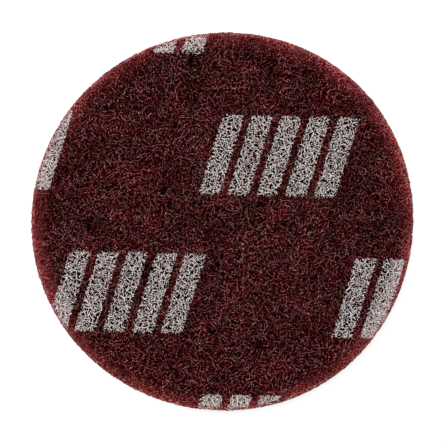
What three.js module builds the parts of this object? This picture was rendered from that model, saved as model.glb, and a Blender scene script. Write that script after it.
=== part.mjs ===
// Non-woven abrasive disc: one piece of crimped nylon fibre web, bonded with resin and fine
// maroon mineral, and die-cut from the sheet. It has no hole, backing or layer of its own.
// It lies on its back face, which is the face that a hook-faced backing pad grips.
// Millimetres, +Z up. The origin is the centre of the back face.
import * as THREE from "three";

// Driving dimensions
const DISC_DIAMETER = 125;
const WEB_THICKNESS = 6.4;
// The knife presses the web down as it enters the printed face, so that edge rolls over.
const FACE_ROLL_WIDTH = 3.0;
const FACE_ROLL_DEPTH = 1.5;
// The edge where the knife leaves the web stays nearly square.
const BACK_ROLL_WIDTH = 0.9;
const BACK_ROLL_DEPTH = 0.7;
// The cut wall leans in by this much on its way up, because the web was squeezed when cut.
const WALL_LEAN = 0.4;

// How finely the curves are cut into flats
const STEPS_ROUND_DISC = 96;
const STEPS_PER_ROLL = 6;

const RIGHT_ANGLE = Math.PI / 2;

// A quarter of an ellipse, from startAngle on, as points of the section.
function rolledEdge(centreRadius, centreHeight, width, depth, startAngle) {
  const edge = new THREE.EllipseCurve(
    centreRadius,
    centreHeight,
    width,
    depth,
    startAngle,
    startAngle + RIGHT_ANGLE,
  );
  return edge.getPoints(STEPS_PER_ROLL);
}

// Half of the disc's cross-section, from the axis out along the back face, up and back in.
function cutSection() {
  const backRadius = DISC_DIAMETER / 2;
  const faceRadius = backRadius - WALL_LEAN;
  const backEdge = rolledEdge(
    backRadius - BACK_ROLL_WIDTH,
    BACK_ROLL_DEPTH,
    BACK_ROLL_WIDTH,
    BACK_ROLL_DEPTH,
    -RIGHT_ANGLE,
  );
  const faceEdge = rolledEdge(
    faceRadius - FACE_ROLL_WIDTH,
    WEB_THICKNESS - FACE_ROLL_DEPTH,
    FACE_ROLL_WIDTH,
    FACE_ROLL_DEPTH,
    0,
  );
  const backCentre = new THREE.Vector2(0, 0);
  const faceCentre = new THREE.Vector2(0, WEB_THICKNESS);
  return [backCentre, ...backEdge, ...faceEdge, faceCentre];
}

function maroonWeb() {
  return new THREE.MeshStandardMaterial({ color: 0x4a1c1d, roughness: 0.9, metalness: 0 });
}

function abrasiveDisc() {
  const disc = new THREE.Mesh(
    new THREE.LatheGeometry(cutSection(), STEPS_ROUND_DISC),
    maroonWeb(),
  );
  disc.name = "abrasive_disc";
  // The section is turned about Y, and the disc's axis is Z.
  disc.rotation.x = RIGHT_ANGLE;
  return disc;
}

const part = new THREE.Group();
part.add(abrasiveDisc());

export default part;
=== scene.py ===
import math

import bmesh
import bpy
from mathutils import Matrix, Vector


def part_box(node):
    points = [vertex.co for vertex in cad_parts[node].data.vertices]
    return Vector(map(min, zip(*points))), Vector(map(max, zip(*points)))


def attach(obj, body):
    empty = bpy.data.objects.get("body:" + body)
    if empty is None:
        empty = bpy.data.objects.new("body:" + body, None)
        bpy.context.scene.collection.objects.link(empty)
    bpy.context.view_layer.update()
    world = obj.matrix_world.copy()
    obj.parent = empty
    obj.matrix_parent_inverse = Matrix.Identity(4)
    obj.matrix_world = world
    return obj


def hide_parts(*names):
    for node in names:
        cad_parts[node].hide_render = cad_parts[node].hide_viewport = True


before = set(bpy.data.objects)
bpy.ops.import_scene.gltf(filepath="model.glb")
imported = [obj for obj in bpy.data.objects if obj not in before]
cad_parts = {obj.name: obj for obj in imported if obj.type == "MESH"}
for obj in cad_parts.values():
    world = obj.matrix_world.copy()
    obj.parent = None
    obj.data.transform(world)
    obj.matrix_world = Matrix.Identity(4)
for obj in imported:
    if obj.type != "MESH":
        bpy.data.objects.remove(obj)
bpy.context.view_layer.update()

# The heart of the web
# The disc is a mat of crimped nylon fibres, bonded where they cross with a resin that carries fine
# maroon mineral. Below its outer fibres the mat is too dense to look into, and this piece stands in
# for that heart: its dark colours are painted shade, as little light reaches so deep. The round
# knife cuts it with the rest, so it ends just inside the wall.
MM = 0.001
web_low, web_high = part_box("abrasive_disc")
DISC_RADIUS = (web_high.x - web_low.x) / 2
WEB_THICKNESS = web_high.z - web_low.z
HEART_BELOW_FACE = 2.0 * MM
HEART_ABOVE_BACK = 1.0 * MM
HEART_INSIDE_WALL = 0.35 * MM
HEART_GRAIN = 1.1 * MM
HEART_PIT_DEPTH = 0.45 * MM
SAME_POINT = 0.001 * MM
LUMP_HEIGHT = 0.7 * MM
LUMP_SIZE = 1.8 * MM
# The springy web is squeezed as it is cut, so the round comes out a little uneven. Each swell
# has its number of lobes, its height and the direction of one lobe.
OUTLINE_SWELLS = (
    (2, 0.38 * MM, math.radians(17)),
    (3, 0.25 * MM, math.radians(56)),
    (4, 0.14 * MM, math.radians(37)),
)
# Where the fibres lie thin, the face sinks in a soft-edged pit. A pit is where flat noise, read
# at its own level, passes these values.
PIT_SIZE = 3.5 * MM
PIT_DEPTH = 0.9 * MM
PIT_LEVEL = 13 * MM
PIT_RANGE = (0.69, 0.76)
# The two deepest pits: centre and half-widths, and the shares of those where a pit fades out
DEEP_PITS = (
    (-10.5 * MM, 52.1 * MM, 0.9 * MM, 2.6 * MM),
    (11.5 * MM, -40.0 * MM, 1.3 * MM, 1.3 * MM),
)
DEEP_PIT_FADE = (0.6, 1.4)


def feed(tree, socket, value):
    """Links a node's output to a socket, or gives the socket a plain value."""
    if isinstance(value, bpy.types.Node):
        value = next(output for output in value.outputs if output.enabled)
    if isinstance(value, bpy.types.NodeSocket):
        tree.links.new(value, socket)
    else:
        socket.default_value = value


def add(tree, kind, inputs=None, **settings):
    """Adds a node with its settings, and feeds its inputs by name or by number."""
    node = tree.nodes.new(kind)
    for name, value in settings.items():
        setattr(node, name, value)
    for name, value in (inputs or {}).items():
        sockets = [socket for socket in node.inputs if socket.enabled]
        if isinstance(name, str):
            sockets = [socket for socket in sockets if socket.name == name]
            name = 0
        feed(tree, sockets[name], value)
    return node


def maths(tree, operation, *values):
    """One step of arithmetic on numbers."""
    return add(tree, "ShaderNodeMath", dict(enumerate(values)), operation=operation).outputs[0]


def whole_maths(tree, operation, first, second):
    """One step of arithmetic on whole numbers."""
    inputs = {0: first, 1: second}
    return add(tree, "FunctionNodeIntegerMath", inputs, operation=operation).outputs[0]


def vector(tree, x, y, z=0.0):
    """Three numbers made into one vector."""
    return add(tree, "ShaderNodeCombineXYZ", {"X": x, "Y": y, "Z": z}).outputs[0]


def parts(tree, value):
    """A vector taken apart, by X, Y and Z."""
    return add(tree, "ShaderNodeSeparateXYZ", {"Vector": value}).outputs


def turned(tree, length, angle, z=0.0):
    """The point that lies this far from the axis, in this direction."""
    x = maths(tree, "MULTIPLY", length, maths(tree, "COSINE", angle))
    y = maths(tree, "MULTIPLY", length, maths(tree, "SINE", angle))
    return vector(tree, x, y, z)


def from_axis(tree, place):
    """How far a place is from the disc's axis."""
    split = parts(tree, place)
    flat = vector(tree, split["X"], split["Y"])
    return add(tree, "ShaderNodeVectorMath", {0: flat}, operation="LENGTH").outputs["Value"]


def noise(tree, place, size, detail=1.0):
    """Smooth noise, mostly from 0.25 to 0.75, in lumps of about this size."""
    inputs = {"Vector": place, "Scale": 1 / size, "Detail": detail}
    return add(tree, "ShaderNodeTexNoise", inputs, noise_dimensions="3D").outputs["Fac"]


def flat_noise(tree, place, size, detail=1.0, level=0.0):
    """The same noise, running straight down through the web."""
    split = parts(tree, place)
    return noise(tree, vector(tree, split["X"], split["Y"], level), size, detail)


def spread(tree, value, low, high, first=0.0, last=1.0, curve="LINEAR"):
    """Turns low to high into first to last, and stops at both ends."""
    inputs = {"Value": value, "From Min": low, "From Max": high, "To Min": first, "To Max": last}
    return add(tree, "ShaderNodeMapRange", inputs, interpolation_type=curve).outputs["Result"]


def pits(tree, place):
    """0 over most of the face, and up to 1 in its pits."""
    deep = spread(tree, flat_noise(tree, place, PIT_SIZE, 1.0, PIT_LEVEL), *PIT_RANGE)
    split = parts(tree, place)
    for centre_x, centre_y, half_x, half_y in DEEP_PITS:
        across = maths(tree, "DIVIDE", maths(tree, "SUBTRACT", split["X"], centre_x), half_x)
        up = maths(tree, "DIVIDE", maths(tree, "SUBTRACT", split["Y"], centre_y), half_y)
        away = from_axis(tree, vector(tree, across, up))
        inside = spread(tree, away, *DEEP_PIT_FADE, 1.0, 0.0, "SMOOTHSTEP")
        deep = maths(tree, "MAXIMUM", deep, inside)
    return deep


def swelled(tree, radius, angle):
    """The radius of the uneven outline in this direction."""
    for lobes, height, turn in OUTLINE_SWELLS:
        phase = maths(tree, "MULTIPLY_ADD", angle, lobes, -lobes * turn)
        radius = maths(tree, "MULTIPLY_ADD", maths(tree, "COSINE", phase), height, radius)
    return radius


def direction(tree, place):
    """The direction in which a place lies from the disc's axis."""
    split = parts(tree, place)
    return maths(tree, "ARCTAN2", split["Y"], split["X"])


def start_tree(name, **kinds):
    """A geometry tree with these named inputs, and the sockets that give them."""
    tree = bpy.data.node_groups.new(name, "GeometryNodeTree")
    tree.interface.new_socket("Geometry", in_out="OUTPUT", socket_type="NodeSocketGeometry")
    for words, kind in kinds.items():
        socket_name = words.replace("_", " ")
        tree.interface.new_socket(socket_name, in_out="INPUT", socket_type="NodeSocket" + kind)
    return tree, tree.nodes.new("NodeGroupInput").outputs


def finish_tree(tree, geometry, material):
    """Ends a geometry tree with plain geometry in one material."""
    real = add(tree, "GeometryNodeRealizeInstances", {"Geometry": geometry})
    painted = add(tree, "GeometryNodeSetMaterial", {"Geometry": real, "Material": material})
    feed(tree, tree.nodes.new("NodeGroupOutput").inputs["Geometry"], painted)


def make_piece(name, tree, settings, start=None):
    """Runs a geometry tree once and keeps what it makes as one plain mesh of the web."""
    piece = bpy.data.objects.new(name, start or bpy.data.meshes.new(name))
    bpy.context.scene.collection.objects.link(piece)
    modifier = piece.modifiers.new(name, "NODES")
    modifier.node_group = tree
    for item in tree.interface.items_tree:
        if item.name in settings:
            modifier[item.identifier] = settings[item.name]
    evaluated = piece.evaluated_get(bpy.context.evaluated_depsgraph_get())
    made = bpy.data.meshes.new_from_object(evaluated)
    piece.modifiers.remove(modifier)
    piece.data = made
    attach(piece, "root")
    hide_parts("abrasive_disc")
    return piece


def start_group(name, inputs, outputs):
    """A shader node group with these named sockets, and both of its ends."""
    group = bpy.data.node_groups.new(name, "ShaderNodeTree")
    for side, sockets in (("INPUT", inputs), ("OUTPUT", outputs)):
        for socket_name, kind in sockets.items():
            group.interface.new_socket(socket_name, in_out=side, socket_type="NodeSocket" + kind)
    given = group.nodes.new("NodeGroupInput").outputs
    return group, given, group.nodes.new("NodeGroupOutput").inputs


def mixed(tree, amount, first, second):
    """Two colours mixed by an amount from 0 to 1."""
    inputs = {"Factor": amount, "A": first, "B": second}
    node = add(tree, "ShaderNodeMix", inputs, data_type="RGBA")
    return next(output for output in node.outputs if output.enabled)


def shaded(tree, colour, amount):
    """A colour made lighter or darker."""
    inputs = {0: colour, "Scale": amount}
    return add(tree, "ShaderNodeVectorMath", inputs, operation="SCALE").outputs[0]


# The coat's colour: pale flecks of mineral on dark red fibre, brown in one patch and crimson in the
# next. It is darker the deeper a fibre lies and nearly black in the pits, which is painted shade.
# It is paler and redder at the rim, which is painted light for the light that comes in through the
# cut wall. How lit a spot is painted and how proud it stands also say whether ink reaches it.
FLECK_SIZE = 0.42 * MM
FLECK_RANGE = (0.37, 0.62)
# The grit of the flecks stands this high, and is a little smoother than the fibre under it.
GRIT_HEIGHT = 0.06 * MM
ROUGHNESS = (0.9, 0.7)
CLUMP_SIZE = 1.4 * MM
CLUMP_RANGE = (0.3, 0.7)
CLUMP_SHADE = (0.7, 1.15)
PATCH_SIZE = 4.0 * MM
PATCH_RANGE = (0.42, 0.58)
TINT_LEVEL = 70 * MM
TINT_RANGE = (0.40, 0.60)
WARM_TINT = (1.02, 1.03, 0.89, 1)
COLD_TINT = (0.98, 0.97, 1.09, 1)
CLOUD_SIZE = 9.0 * MM
CLOUD_RANGE = (0.32, 0.68)
CLOUD_SHADE = (0.65, 1.35)
RIM_START = 55.0 * MM
RIM_RISE = 0.82
# Over these depths a fibre goes from lit to dark, in painted shade.
SHADE_DEPTH_RANGE = (0.1 * MM, 0.8 * MM)
DARK_SHADE = (0.4, 1.2)
# How dark the coat is painted in the pits: painted shade.
PIT_PAINTED_SHADE = 0.2
# Red comes up sooner than green and blue as a spot is painted more lit and stands prouder.
RED_POWER = 1.5
GREY_POWER = 2.2

web_colour, given, sent = start_group(
    "web colour",
    {
        "Place": "Vector",
        "Depth": "Float",
        "Evenness": "Float",
        "Brown": "Color",
        "Crimson": "Color",
        "Deep": "Color",
        "Rim": "Color",
        "Rim Deep": "Color",
    },
    {"Colour": "Color", "Lit and Proud": "Float"},
)
tree = web_colour
rim = spread(tree, from_axis(tree, given["Place"]), RIM_START, DISC_RADIUS, curve="SMOOTHSTEP")
# Painted light and shade: 1 near the face, raised at the rim, 0 deeper down.
painted_light = spread(tree, given["Depth"], *SHADE_DEPTH_RANGE, 1.0, 0.0)
painted_light = maths(tree, "MAXIMUM", painted_light, maths(tree, "MULTIPLY", rim, RIM_RISE))
# Evenness says how pale the coat stays between its flecks.
fleck = spread(tree, noise(tree, given["Place"], FLECK_SIZE), *FLECK_RANGE, given["Evenness"])
clump = spread(tree, noise(tree, given["Place"], CLUMP_SIZE), *CLUMP_RANGE, *CLUMP_SHADE)
lit_and_proud = maths(tree, "MULTIPLY", maths(tree, "MULTIPLY", painted_light, fleck), clump)
patch = spread(tree, noise(tree, given["Place"], PATCH_SIZE, 2.0), *PATCH_RANGE)
pale = mixed(tree, patch, given["Brown"], given["Crimson"])
tint = flat_noise(tree, given["Place"], PATCH_SIZE, 2.0, TINT_LEVEL)
tint = mixed(tree, spread(tree, tint, *TINT_RANGE), WARM_TINT, COLD_TINT)
pale = add(tree, "ShaderNodeVectorMath", {0: pale, 1: tint}, operation="MULTIPLY").outputs[0]
pale = mixed(tree, rim, pale, given["Rim"])
dark = shaded(tree, given["Deep"], spread(tree, patch, 0.0, 1.0, *DARK_SHADE))
dark = mixed(tree, maths(tree, "MULTIPLY", rim, rim), dark, given["Rim Deep"])
redness = maths(tree, "POWER", lit_and_proud, RED_POWER)
greyness = maths(tree, "POWER", lit_and_proud, GREY_POWER)
inputs = {"Factor": vector(tree, redness, greyness, greyness), "A": dark, "B": pale}
coat = add(tree, "ShaderNodeMix", inputs, data_type="VECTOR", factor_mode="NON_UNIFORM")
coat = next(output for output in coat.outputs if output.enabled)
# Painted shade in the pits, which fades out at the rim.
pit = maths(tree, "MULTIPLY", pits(tree, given["Place"]), maths(tree, "SUBTRACT", 1.0, rim))
coat = shaded(tree, coat, spread(tree, pit, 0.0, 1.0, 1.0, PIT_PAINTED_SHADE))
cloud = spread(tree, noise(tree, given["Place"], CLOUD_SIZE, 2.0), *CLOUD_RANGE, *CLOUD_SHADE)
feed(tree, sent["Colour"], shaded(tree, coat, cloud))
feed(tree, sent["Lit and Proud"], lit_and_proud)


def web_material(name, brown, crimson, deep, rim, rim_deep, evenness=0.0):
    """Coated fibre, with its shader, its place, its colour, and how lit it is painted and how proud
    it stands.
    """
    material = bpy.data.materials.new(name)
    material.use_nodes = True
    tree = material.node_tree
    shader = tree.nodes["Principled BSDF"]
    place = add(tree, "ShaderNodeTexCoord").outputs["Object"]
    coat = add(tree, "ShaderNodeGroup", node_tree=web_colour)
    feed(tree, coat.inputs["Place"], place)
    depth = add(tree, "ShaderNodeAttribute", attribute_name="depth")
    feed(tree, coat.inputs["Depth"], depth.outputs["Fac"])
    coat.inputs["Evenness"].default_value = evenness
    colours = {"Brown": brown, "Crimson": crimson, "Deep": deep, "Rim": rim, "Rim Deep": rim_deep}
    for socket_name, colour in colours.items():
        coat.inputs[socket_name].default_value = (*colour, 1)
    feed(tree, shader.inputs["Base Color"], coat.outputs["Colour"])
    roughness = spread(tree, coat.outputs["Lit and Proud"], 0.0, 1.0, *ROUGHNESS)
    feed(tree, shader.inputs["Roughness"], roughness)
    grit = add(tree, "ShaderNodeBump", {"Distance": GRIT_HEIGHT, "Height": coat.outputs["Lit and Proud"]})
    feed(tree, shader.inputs["Normal"], grit)
    shader.inputs["Specular IOR Level"].default_value = 0.0
    return material, place, coat.outputs


def heart_shape():
    """The disc's own outline shrunk inside its faces and wall, in even small faces."""
    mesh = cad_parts["abrasive_disc"].data.copy()
    shape = bmesh.new()
    shape.from_mesh(mesh)
    bmesh.ops.remove_doubles(shape, verts=shape.verts, dist=SAME_POINT)
    across = (DISC_RADIUS - HEART_INSIDE_WALL) / DISC_RADIUS
    height = WEB_THICKNESS - HEART_BELOW_FACE - HEART_ABOVE_BACK
    for vertex in shape.verts:
        vertex.co.x *= across
        vertex.co.y *= across
        vertex.co.z = HEART_ABOVE_BACK + vertex.co.z * height / WEB_THICKNESS
    shape.to_mesh(mesh)
    shape.free()
    solid = bpy.data.objects.new("heart shape", mesh)
    bpy.context.scene.collection.objects.link(solid)
    remesh = solid.modifiers.new("even faces", "REMESH")
    remesh.mode = "VOXEL"
    remesh.voxel_size = HEART_GRAIN
    evaluated = solid.evaluated_get(bpy.context.evaluated_depsgraph_get())
    even = bpy.data.meshes.new_from_object(evaluated)
    bpy.data.objects.remove(solid)
    return even


heart_tree, given = start_tree(
    "heart of the web", Shape="Geometry", Lumps="Float", Pit_Depth="Float", Material="Material"
)
tree = heart_tree
position = add(tree, "GeometryNodeInputPosition").outputs[0]
lump = maths(tree, "SUBTRACT", noise(tree, position, LUMP_SIZE, 2.0), 0.5)
rise = maths(tree, "MULTIPLY", lump, given["Lumps"])
sunk = maths(tree, "MULTIPLY", pits(tree, position), given["Pit Depth"])
rise = maths(tree, "SUBTRACT", rise, sunk)
normal = add(tree, "GeometryNodeInputNormal").outputs[0]
push = add(tree, "ShaderNodeVectorMath", {0: normal, "Scale": rise}, operation="SCALE")
lumpy = add(tree, "GeometryNodeSetPosition", {"Geometry": given["Shape"], "Offset": push})
swell = maths(tree, "DIVIDE", swelled(tree, DISC_RADIUS, direction(tree, position)), DISC_RADIUS)
split = parts(tree, position)
swelled_x = maths(tree, "MULTIPLY", split["X"], swell)
swelled_y = maths(tree, "MULTIPLY", split["Y"], swell)
swelled_place = vector(tree, swelled_x, swelled_y, split["Z"])
uneven = add(tree, "GeometryNodeSetPosition", {"Geometry": lumpy, "Position": swelled_place})
finish_tree(tree, uneven, given["Material"])

# The heart's colours are painted shade, dark versions of the coated fibre above. At the rim they
# are redder, with the painted light that comes in through the cut wall.
SHADED_DEEP_RED = (0.022, 0.0002, 0.0003)
RIM_DEEP_RED = (0.15, 0.001, 0.0012)
HEART_SHADED_BROWN = (0.05, 0.008, 0.008)
HEART_SHADED_CRIMSON = (0.06, 0.006, 0.010)
HEART_RIM_RED = (0.20, 0.02, 0.02)
HEART_RIM_DEEP_RED = (0.06, 0.0005, 0.0006)
heart_coat, *_ = web_material(
    "heart", HEART_SHADED_BROWN, HEART_SHADED_CRIMSON, SHADED_DEEP_RED, HEART_RIM_RED, HEART_RIM_DEEP_RED
)
web_heart = make_piece(
    "web_heart",
    heart_tree,
    {"Lumps": LUMP_HEIGHT, "Pit Depth": HEART_PIT_DEPTH, "Material": heart_coat},
    heart_shape(),
)

# The fibres of the printed face
# Crimped nylon staple lies at random in the plane of the web, coated with resin and mineral.
# Each strand here is one stretch of a fibre, which comes up to the face and goes down again.
# The knife cuts the fibres off at the wall, and rolls the face's edge down.
FACE_ROLL_WIDTH = 3.0 * MM
FACE_ROLL_DEPTH = 1.5 * MM
WALL_LEAN = 0.4 * MM
GOLDEN_ANGLE = math.pi * (3 - math.sqrt(5))
# How much one fibre's dip and coarseness differ from the next one's
DIP_RANGE = (0.5, 1.5)
COARSENESS_RANGE = (0.75, 1.2)
# Where a fibre starts to read the noise that bends it
BEND_STARTS = (0.0, 900.0)
# Each fibre has its own cell of the piece's map, in rows of this many, with a margin.
MAP_COLUMNS = 52
CELL_ALONG = (0.05, 0.95)
CELL_ROUND = (0.1, 0.9)
STRAND_INPUTS = {
    "Strands": "Int",
    "Points": "Int",
    "Step_Length": "Float",
    "Diameter": "Float",
    "Curl": "Float",
    "Curl_Length": "Float",
    "Shallow": "Float",
    "Deep": "Float",
    "Dip": "Float",
    "Seed": "Int",
    "Material": "Material",
}


def chance(tree, given, low, high, strand, draw):
    """A random number that all the points of one strand share."""
    seed = whole_maths(tree, "ADD", given["Seed"], draw)
    inputs = {"Min": low, "Max": high, "ID": strand, "Seed": seed}
    return add(tree, "FunctionNodeRandomValue", inputs, data_type="FLOAT").outputs[1]


def stored(tree, geometry, name, value):
    """Geometry that carries a named number on each point."""
    inputs = {"Geometry": geometry, "Name": name, "Value": value}
    return add(tree, "GeometryNodeStoreNamedAttribute", inputs, data_type="FLOAT", domain="POINT")


def carried(tree, name):
    """The named number that each point carries."""
    number = add(tree, "GeometryNodeInputNamedAttribute", {"Name": name}, data_type="FLOAT")
    return number.outputs[0]


def lay_strands(tree, given, find_centre, heading_spread):
    """Bent lines laid flat, whose points carry the numbers that the later steps ask for."""
    index = add(tree, "GeometryNodeInputIndex").outputs[0]
    strand = whole_maths(tree, "DIVIDE_FLOOR", index, given["Points"])
    step = whole_maths(tree, "MODULO", index, given["Points"])
    last_step = maths(tree, "SUBTRACT", given["Points"], 1.0)
    along = maths(tree, "DIVIDE", step, last_step)
    length = maths(tree, "MULTIPLY", given["Step Length"], last_step)
    main_heading = chance(tree, given, -heading_spread, heading_spread, strand, 1)
    bend_at = maths(tree, "DIVIDE", maths(tree, "MULTIPLY", length, along), given["Curl Length"])
    bend = noise(tree, vector(tree, bend_at, chance(tree, given, *BEND_STARTS, strand, 2)), 1.0)
    bend = maths(tree, "MULTIPLY", maths(tree, "SUBTRACT", bend, 0.5), given["Curl"])
    stride = turned(tree, given["Step Length"], maths(tree, "ADD", main_heading, bend))
    walk = add(tree, "GeometryNodeAccumulateField", data_type="FLOAT_VECTOR", domain="POINT")
    feed(tree, walk.inputs[0], stride)
    feed(tree, walk.inputs[1], strand)
    back_to_start = turned(tree, maths(tree, "MULTIPLY", length, -0.5), main_heading)
    inputs = {0: find_centre(strand), 1: back_to_start}
    start = add(tree, "ShaderNodeVectorMath", inputs, operation="ADD")
    inputs = {0: start, 1: walk.outputs["Trailing"]}
    place = add(tree, "ShaderNodeVectorMath", inputs, operation="ADD")
    count = whole_maths(tree, "MULTIPLY", given["Strands"], given["Points"])
    points = add(tree, "GeometryNodePoints", {"Count": count})
    points = add(tree, "GeometryNodeSetPosition", {"Geometry": points, "Position": place})
    from_middle = maths(tree, "MULTIPLY_ADD", along, 2.0, -1.0)
    dip = maths(tree, "MULTIPLY", given["Dip"], chance(tree, given, *DIP_RANGE, strand, 3))
    dip = maths(tree, "MULTIPLY", dip, maths(tree, "MULTIPLY", from_middle, from_middle))
    depth = maths(tree, "ADD", dip, chance(tree, given, given["Shallow"], given["Deep"], strand, 4))
    points = stored(tree, points, "depth", depth)
    points = stored(tree, points, "coarseness", chance(tree, given, *COARSENESS_RANGE, strand, 5))
    points = stored(tree, points, "reach", chance(tree, given, -1.0, 1.0, strand, 6))
    points = stored(tree, points, "strand", strand)
    points = stored(tree, points, "along", along)
    curves = add(tree, "GeometryNodePointsToCurves", {"Points": points, "Curve Group ID": strand})
    return add(tree, "GeometryNodeCurveToMesh", {"Curve": curves})


def spin_fibres(tree, given, lines):
    """Lines made into three-sided fibres with closed ends, each with its own cell of the map."""
    curves = add(tree, "GeometryNodeMeshToCurve", {"Mesh": lines})
    curves = add(tree, "GeometryNodeSetCurveNormal", {"Curve": curves}, mode="Z_UP")
    section = add(
        tree,
        "GeometryNodeCurvePrimitiveCircle",
        {"Resolution": 3, "Radius": maths(tree, "DIVIDE", given["Diameter"], 2.0)},
        mode="RADIUS",
    )
    inputs = {
        "Curve": curves,
        "Profile Curve": section,
        "Scale": carried(tree, "coarseness"),
        "Fill Caps": True,
    }
    fibres = add(tree, "GeometryNodeCurveToMesh", inputs)
    fibres = add(tree, "GeometryNodeSetShadeSmooth", {"Geometry": fibres})
    strand = carried(tree, "strand")
    column = maths(tree, "MODULO", strand, MAP_COLUMNS)
    row = maths(tree, "FLOOR", maths(tree, "DIVIDE", strand, MAP_COLUMNS))
    rows = maths(tree, "CEIL", maths(tree, "DIVIDE", given["Strands"], MAP_COLUMNS))
    side = whole_maths(tree, "MODULO", add(tree, "GeometryNodeInputIndex").outputs[0], 3)
    in_column = spread(tree, carried(tree, "along"), 0.0, 1.0, *CELL_ALONG)
    in_row = spread(tree, side, 0.0, 2.0, *CELL_ROUND)
    across = maths(tree, "DIVIDE", maths(tree, "ADD", column, in_column), MAP_COLUMNS)
    up = maths(tree, "DIVIDE", maths(tree, "ADD", row, in_row), rows)
    inputs = {"Geometry": fibres, "Name": "OFBake", "Value": vector(tree, across, up)}
    fibres = add(
        tree, "GeometryNodeStoreNamedAttribute", inputs, data_type="FLOAT2", domain="CORNER"
    )
    for name in ("coarseness", "reach", "strand", "along"):
        fibres = add(tree, "GeometryNodeRemoveAttribute", {"Geometry": fibres, "Name": name})
    return fibres


def rolled(tree, share, size):
    """How far a rolled edge has fallen away at this share of its width."""
    share = spread(tree, share, 0.0, 1.0)
    left = maths(tree, "SQRT", maths(tree, "SUBTRACT", 1.0, maths(tree, "MULTIPLY", share, share)))
    return maths(tree, "MULTIPLY", size, maths(tree, "SUBTRACT", 1.0, left))


face_tree, given = start_tree(
    "fibres of a face",
    **STRAND_INPUTS,
    Spread_Radius="Float",
    Cut_Radius="Float",
    Ragged="Float",
    Surface="Float",
    Downwards="Float",
    Roll_Width="Float",
    Roll_Depth="Float",
    Pit_Depth="Float",
)
tree = face_tree


def like_sunflower_seeds(strand):
    """Centres spread evenly over a round, as a sunflower's seeds are."""
    share = maths(tree, "DIVIDE", maths(tree, "ADD", strand, 0.5), given["Strands"])
    radius = maths(tree, "MULTIPLY", given["Spread Radius"], maths(tree, "SQRT", share))
    return turned(tree, radius, maths(tree, "MULTIPLY_ADD", strand, GOLDEN_ANGLE, given["Seed"]))


lines = lay_strands(tree, given, like_sunflower_seeds, math.pi)
position = add(tree, "GeometryNodeInputPosition").outputs[0]
radius = from_axis(tree, position)
cut = swelled(tree, given["Cut Radius"], direction(tree, position))
cut = maths(tree, "MULTIPLY_ADD", carried(tree, "reach"), given["Ragged"], cut)
beyond = maths(tree, "GREATER_THAN", radius, maths(tree, "ADD", cut, given["Step Length"]))
inputs = {"Geometry": lines, "Selection": beyond}
lines = add(tree, "GeometryNodeDeleteGeometry", inputs, domain="POINT")
roll_start = maths(tree, "SUBTRACT", cut, given["Roll Width"])
over = maths(tree, "DIVIDE", maths(tree, "SUBTRACT", radius, roll_start), given["Roll Width"])
fall = rolled(tree, over, given["Roll Depth"])
sunk = maths(tree, "MULTIPLY", pits(tree, position), given["Pit Depth"])
below = maths(tree, "ADD", maths(tree, "ADD", carried(tree, "depth"), fall), sunk)
pull = maths(tree, "DIVIDE", maths(tree, "MINIMUM", radius, cut), radius)
split = parts(tree, position)
laid = vector(
    tree,
    maths(tree, "MULTIPLY", split["X"], pull),
    maths(tree, "MULTIPLY", split["Y"], pull),
    maths(tree, "MULTIPLY_ADD", below, given["Downwards"], given["Surface"]),
)
lines = add(tree, "GeometryNodeSetPosition", {"Geometry": lines, "Position": laid})
finish_tree(tree, spin_fibres(tree, given, lines), given["Material"])

# Plain slanted bars are printed on the face in pale ink, in blocks that repeat along rows,
# each row moved along from the one above. The ink reaches the upper fibres only.
INK = (1.0, 0.90, 0.885)
BAR_COUNT = 5
BAR_WIDTH = 6.8 * MM
BAR_PITCH = 9.4 * MM
BAR_LENGTH = 26.0 * MM
BAR_SLANT = math.radians(16)
BAR_ROUNDING = 0.8 * MM
BAR_EDGE = (-0.07 * MM, 0.07 * MM)
PRINT_TURN = math.radians(-1.5)
COLUMN_PITCH = 93.2 * MM
ROW_PITCH = 45.6 * MM
ROW_SHIFT = 44.4 * MM
FIRST_BLOCK = (17.7 * MM, 21.8 * MM)
INK_SPREAD = 1.8 * MM
INK_WANDER = 0.8 * MM
INK_REACH = (0.02, 0.18)

printed_bars, given, sent = start_group(
    "printed bars", {"Place": "Vector", "Lit and Proud": "Float"}, {"Ink": "Float"}
)
tree = printed_bars
bleed = maths(tree, "SUBTRACT", flat_noise(tree, given["Place"], INK_WANDER), 0.5)
inputs = {"Vector": given["Place"], "Angle": -PRINT_TURN}
split = parts(tree, add(tree, "ShaderNodeVectorRotate", inputs, rotation_type="Z_AXIS"))
across = maths(tree, "SUBTRACT", split["X"], FIRST_BLOCK[0])
up = maths(tree, "SUBTRACT", split["Y"], FIRST_BLOCK[1])
row = maths(tree, "ROUND", maths(tree, "DIVIDE", up, ROW_PITCH))
up = maths(tree, "MULTIPLY_ADD", row, -ROW_PITCH, up)
across = maths(tree, "MULTIPLY_ADD", row, ROW_SHIFT, across)
column = maths(tree, "ROUND", maths(tree, "DIVIDE", across, COLUMN_PITCH))
across = maths(tree, "MULTIPLY_ADD", column, -COLUMN_PITCH, across)
across = maths(tree, "MULTIPLY_ADD", up, -math.tan(BAR_SLANT), across)
in_block = maths(tree, "LESS_THAN", maths(tree, "ABSOLUTE", across), BAR_COUNT * BAR_PITCH / 2)
across = maths(tree, "WRAP", across, BAR_PITCH / 2, -BAR_PITCH / 2)
past_side = maths(tree, "SUBTRACT", maths(tree, "ABSOLUTE", across), BAR_WIDTH / 2 - BAR_ROUNDING)
past_end = maths(tree, "SUBTRACT", maths(tree, "ABSOLUTE", up), BAR_LENGTH / 2 - BAR_ROUNDING)
past = vector(tree, maths(tree, "MAXIMUM", past_side, 0.0), maths(tree, "MAXIMUM", past_end, 0.0))
outside = maths(tree, "SUBTRACT", from_axis(tree, past), BAR_ROUNDING)
outside = maths(tree, "MULTIPLY_ADD", bleed, INK_SPREAD, outside)
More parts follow.
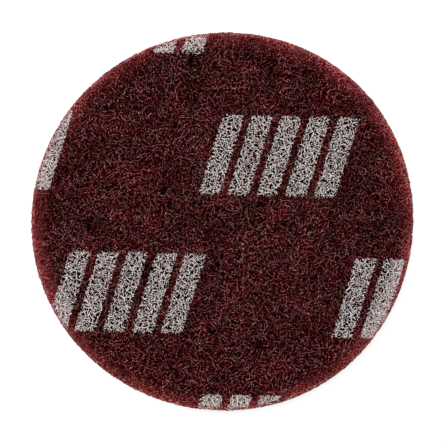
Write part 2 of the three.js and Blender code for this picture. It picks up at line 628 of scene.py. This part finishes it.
ink = spread(tree, outside, *BAR_EDGE, 1.0, 0.0)
ink = maths(tree, "MULTIPLY", ink, in_block)
reached = spread(tree, given["Lit and Proud"], *INK_REACH)
feed(tree, sent["Ink"], maths(tree, "MULTIPLY", ink, reached))

BROWN = (0.70, 0.54, 0.505)
CRIMSON = (0.84, 0.485, 0.505)
RIM_RED = (1.0, 0.43, 0.44)
COAT_COLOURS = (BROWN, CRIMSON, SHADED_DEEP_RED, RIM_RED, RIM_DEEP_RED)


def printed_material(name, colours, evenness=0.0):
    """Coated fibre with the bars printed on it."""
    material, place, coat = web_material(name, *colours, evenness)
    tree = material.node_tree
    bars = add(tree, "ShaderNodeGroup", node_tree=printed_bars)
    feed(tree, bars.inputs["Place"], place)
    feed(tree, bars.inputs["Lit and Proud"], coat["Lit and Proud"])
    inked = mixed(tree, bars.outputs["Ink"], coat["Colour"], (*INK, 1))
    feed(tree, tree.nodes["Principled BSDF"].inputs["Base Color"], inked)
    return material


printed_coat = printed_material("printed face", COAT_COLOURS)

STRANDS = {
    "Points": 3,
    "Step Length": 0.75 * MM,
    "Diameter": 0.19 * MM,
    "Curl": 6.0,
    "Curl Length": 4.0 * MM,
    "Dip": 0.6 * MM,
}
FACE = {
    **STRANDS,
    "Spread Radius": DISC_RADIUS + 1.0 * MM,
    "Cut Radius": DISC_RADIUS - WALL_LEAN,
    "Ragged": 0.2 * MM,
    "Surface": WEB_THICKNESS,
    "Downwards": -1.0,
    "Roll Width": FACE_ROLL_WIDTH,
    "Roll Depth": FACE_ROLL_DEPTH,
    "Pit Depth": PIT_DEPTH,
    "Material": printed_coat,
}
# Four layers of short stretches lie one below the next.
for name, strands, shallow, deep, seed in (
    ("face_fibres_top", 13000, 0.1, 0.35, 10),
    ("face_fibres_upper", 11500, 0.2, 0.5, 20),
    ("face_fibres_middle", 11500, 0.5, 0.9, 30),
    ("face_fibres_lower", 6000, 0.8, 1.3, 40),
):
    layer = {"Strands": strands, "Shallow": shallow * MM, "Deep": deep * MM, "Seed": seed}
    make_piece(name, face_tree, {**FACE, **layer})

# Among them run longer stretches with a thinner coat, which show as fine redder lines.
THIN_BROWN = (0.58, 0.31, 0.30)
THIN_CRIMSON = (0.72, 0.27, 0.29)
THIN_EVENNESS = 0.42
THIN_COLOURS = (THIN_BROWN, THIN_CRIMSON, SHADED_DEEP_RED, RIM_RED, RIM_DEEP_RED)
thin_coat = printed_material("thinly coated face", THIN_COLOURS, THIN_EVENNESS)
make_piece(
    "face_fibres_long",
    face_tree,
    {
        **FACE,
        "Strands": 3200,
        "Points": 5,
        "Step Length": 0.85 * MM,
        "Diameter": 0.13 * MM,
        "Curl": 4.5,
        "Shallow": 0.08 * MM,
        "Deep": 0.3 * MM,
        "Dip": 0.4 * MM,
        "Seed": 70,
        "Material": thin_coat,
    },
)

# The fibres of the back
# The back is the same web, with no print, and its edge stays nearly square. The hooks of a
# sander's pad hold the disc by these fibres.
BACK_ROLL_WIDTH = 0.9 * MM
BACK_ROLL_DEPTH = 0.7 * MM
plain_coat, *_ = web_material("plain web", *COAT_COLOURS)
make_piece(
    "back_fibres",
    face_tree,
    {
        **FACE,
        "Strands": 9000,
        "Step Length": 1.1 * MM,
        "Shallow": 0.1 * MM,
        "Deep": 0.5 * MM,
        "Dip": 0.7 * MM,
        "Cut Radius": DISC_RADIUS,
        "Surface": 0.0,
        "Downwards": 1.0,
        "Roll Width": BACK_ROLL_WIDTH,
        "Roll Depth": BACK_ROLL_DEPTH,
        "Pit Depth": 0.0,
        "Seed": 50,
        "Material": plain_coat,
    },
)

# The fibres of the cut wall
# The knife leaves the wall as a stack of fibres that run in and out of it, mostly level. The
# resin is thinner here and light passes through, so they look paler and redder.
wall_tree, given = start_tree(
    "fibres of the wall",
    **STRAND_INPUTS,
    Low="Float",
    High="Float",
    Lean="Float",
    Ragged="Float",
    Face_Roll_Width="Float",
    Face_Roll_Depth="Float",
    Back_Roll_Width="Float",
    Back_Roll_Depth="Float",
)
tree = wall_tree
GOLDEN_SHARE = (math.sqrt(5) - 1) / 2
WALL_HEADINGS = 0.7


def in_even_rows(strand):
    """Centres spread evenly along the unrolled wall."""
    share = maths(tree, "DIVIDE", maths(tree, "ADD", strand, 0.5), given["Strands"])
    height = maths(tree, "FRACT", maths(tree, "MULTIPLY", strand, GOLDEN_SHARE))
    climb = maths(tree, "SUBTRACT", given["High"], given["Low"])
    return vector(
        tree,
        maths(tree, "MULTIPLY", share, math.tau * DISC_RADIUS),
        maths(tree, "MULTIPLY_ADD", height, climb, given["Low"]),
    )


lines = lay_strands(tree, given, in_even_rows, WALL_HEADINGS)
split = parts(tree, add(tree, "GeometryNodeInputPosition").outputs[0])
height = maths(tree, "MAXIMUM", maths(tree, "MINIMUM", split["Y"], given["High"]), given["Low"])
angle = maths(tree, "DIVIDE", split["X"], DISC_RADIUS)
radius = maths(tree, "SUBTRACT", swelled(tree, DISC_RADIUS, angle), carried(tree, "depth"))
radius = maths(tree, "MULTIPLY_ADD", carried(tree, "reach"), given["Ragged"], radius)
lean = maths(tree, "DIVIDE", maths(tree, "MULTIPLY", height, given["Lean"]), WEB_THICKNESS)
radius = maths(tree, "SUBTRACT", radius, lean)
roll_bottom = maths(tree, "SUBTRACT", WEB_THICKNESS, given["Face Roll Depth"])
above = maths(tree, "SUBTRACT", height, roll_bottom)
above = maths(tree, "DIVIDE", above, given["Face Roll Depth"])
radius = maths(tree, "SUBTRACT", radius, rolled(tree, above, given["Face Roll Width"]))
below = maths(tree, "SUBTRACT", given["Back Roll Depth"], height)
below = maths(tree, "DIVIDE", below, given["Back Roll Depth"])
radius = maths(tree, "SUBTRACT", radius, rolled(tree, below, given["Back Roll Width"]))
wrapped = turned(tree, radius, angle, height)
lines = add(tree, "GeometryNodeSetPosition", {"Geometry": lines, "Position": wrapped})
finish_tree(tree, spin_fibres(tree, given, lines), given["Material"])

WALL_RED = (1.0, 0.52, 0.53)
wall_coat, *_ = web_material("cut wall", BROWN, CRIMSON, SHADED_DEEP_RED, WALL_RED, RIM_DEEP_RED)
make_piece(
    "wall_fibres",
    wall_tree,
    {
        **STRANDS,
        "Strands": 11000,
        "Step Length": 1.0 * MM,
        "Shallow": 0.0,
        "Deep": 0.4 * MM,
        "Dip": 0.6 * MM,
        "Low": 0.1 * MM,
        "High": 5.6 * MM,
        "Lean": WALL_LEAN,
        "Ragged": 0.1 * MM,
        "Face Roll Width": FACE_ROLL_WIDTH,
        "Face Roll Depth": FACE_ROLL_DEPTH,
        "Back Roll Width": BACK_ROLL_WIDTH,
        "Back Roll Depth": BACK_ROLL_DEPTH,
        "Seed": 60,
        "Material": wall_coat,
    },
)

# The table, lamps and camera
# The disc lies on a white table under plain soft light, with the room's even light round it
# and a big lamp overhead. The camera looks straight down.
ROOM_LIGHT = 0.5
scene = bpy.context.scene
scene.view_settings.view_transform = "Standard"
world = bpy.data.worlds.new("room")
scene.world = world
world.use_nodes = True
world.node_tree.nodes["Background"].inputs["Color"].default_value = (1, 1, 1, 1)
world.node_tree.nodes["Background"].inputs["Strength"].default_value = ROOM_LIGHT

# The table is a mid grey that looks white to the camera, so that it keeps the disc's shadow
# and doesn't light the wall from below. That glow fades out just inside the disc's outline.
TABLE_HALF = 1.5
TABLE_COLOUR = (0.32, 0.32, 0.32)
TABLE_ROUGHNESS = 0.9
TABLE_GLOW = 0.78
GLOW_FADE = (-0.6 * MM, -0.1 * MM)
table_mesh = bpy.data.meshes.new("table")
corners = [(x * TABLE_HALF, y * TABLE_HALF, 0) for x, y in ((-1, -1), (1, -1), (1, 1), (-1, 1))]
table_mesh.from_pydata(corners, [], [(0, 1, 2, 3)])
table = bpy.data.objects.new("table", table_mesh)
scene.collection.objects.link(table)
table_white = bpy.data.materials.new("table white")
table_white.use_nodes = True
tree = table_white.node_tree
shader = tree.nodes["Principled BSDF"]
shader.inputs["Base Color"].default_value = (*TABLE_COLOUR, 1)
shader.inputs["Roughness"].default_value = TABLE_ROUGHNESS
shader.inputs["Emission Color"].default_value = (1, 1, 1, 1)
rays = add(tree, "ShaderNodeLightPath").outputs
seen = maths(tree, "MAXIMUM", rays["Is Camera Ray"], rays["Is Glossy Ray"])
seen = maths(tree, "MAXIMUM", seen, rays["Is Transmission Ray"])
place = add(tree, "ShaderNodeTexCoord").outputs["Object"]
past_disc = maths(
    tree, "SUBTRACT", from_axis(tree, place), swelled(tree, DISC_RADIUS, direction(tree, place))
)
open_to_light = spread(tree, past_disc, *GLOW_FADE)
glow = maths(tree, "MULTIPLY", maths(tree, "MULTIPLY", seen, open_to_light), TABLE_GLOW)
feed(tree, shader.inputs["Emission Strength"], glow)
table.data.materials.append(table_white)

LAMP_SIZE = 0.8
LAMP_WATTS = 9.5
LAMP_PLACE = (-0.25, 0.4, 0.95)
lamp_data = bpy.data.lights.new("overhead", "AREA")
lamp_data.shape = "DISK"
lamp_data.size = LAMP_SIZE
lamp_data.energy = LAMP_WATTS
lamp = bpy.data.objects.new("overhead", lamp_data)
lamp.location = LAMP_PLACE
lamp.rotation_euler = (Vector((0, 0, 0)) - lamp.location).to_track_quat("-Z", "Y").to_euler()
scene.collection.objects.link(lamp)

# The camera stands where the disc looks as wide, and lies in the same place, as in the
# photograph. The outline that it sees is the top of the wall, where the rolled edge starts.
PHOTO_SIZE = 444
DISC_CENTRE_PX = (223.0, 221.4)
OUTLINE_RADIUS_PX = 190.2
LENS = 100.0
SENSOR = 36.0
outline_height = WEB_THICKNESS - FACE_ROLL_DEPTH
distance = (DISC_RADIUS - WALL_LEAN) / (OUTLINE_RADIUS_PX / PHOTO_SIZE * SENSOR / LENS)
camera_data = bpy.data.cameras.new("camera")
camera_data.lens = LENS
camera_data.sensor_width = SENSOR
camera_data.shift_x = -(DISC_CENTRE_PX[0] - PHOTO_SIZE / 2) / PHOTO_SIZE
camera_data.shift_y = (DISC_CENTRE_PX[1] - PHOTO_SIZE / 2) / PHOTO_SIZE
camera = bpy.data.objects.new("camera", camera_data)
camera.location = (0, 0, outline_height + distance)
scene.collection.objects.link(camera)
scene.camera = camera
